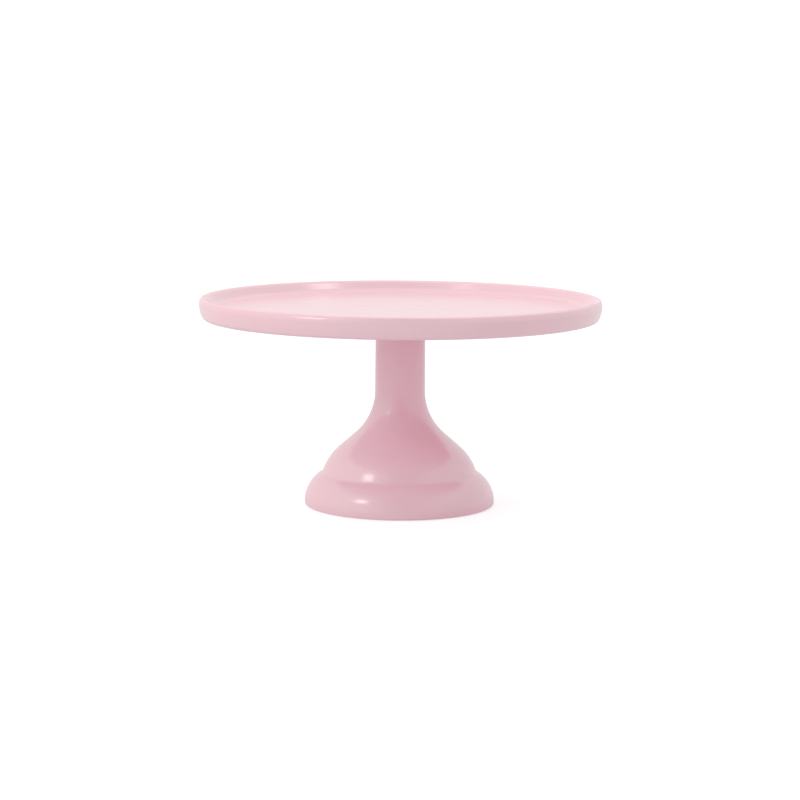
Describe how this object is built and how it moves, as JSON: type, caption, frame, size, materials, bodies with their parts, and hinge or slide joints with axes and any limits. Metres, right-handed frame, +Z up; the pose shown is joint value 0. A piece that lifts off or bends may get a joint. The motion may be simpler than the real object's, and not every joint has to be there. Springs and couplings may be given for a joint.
{
  "type": "cake stand",
  "caption": "Round footed cake stand: a shallow lipped plate that screws onto a hollow bell-shaped pedestal with a slim neck.",
  "frame": {"origin": "centre of the foot's circle on the surface that the stand rests on", "axes": "+Z up along the stand's axis of revolution, from the foot to the plate"},
  "size_m": [0.3, 0.3, 0.156],
  "materials": {
    "melamine": "glossy, pale pink, coloured right through",
    "silicone": "matt, translucent white",
    "brass": "machined",
    "steel": "zinc plated"
  },
  "bodies": {
    "pedestal": {"pedestal": "melamine", "pedestal_insert": "brass", "joining_stud": "steel", "non_slip_ring": "silicone"},
    "gasket": {"seat_gasket": "silicone"},
    "plate": {"plate": "melamine", "plate_insert": "brass"}
  },
  "joints": [
    {"name": "thread_rise", "type": "slide", "parent": "pedestal", "child": "gasket", "axis": [0, 0, 1], "range_m": [0, 0.0051]},
    {"name": "plate_turn", "type": "hinge", "parent": "gasket", "child": "plate", "pos_m": [0, 0, 0.14], "axis": [0, 0, 1], "range_deg": [0, 1440]}
  ],
  "couplings": [
    {"joint": "thread_rise", "follows": "plate_turn", "m_per_rad": 0.00019894}
  ]
}
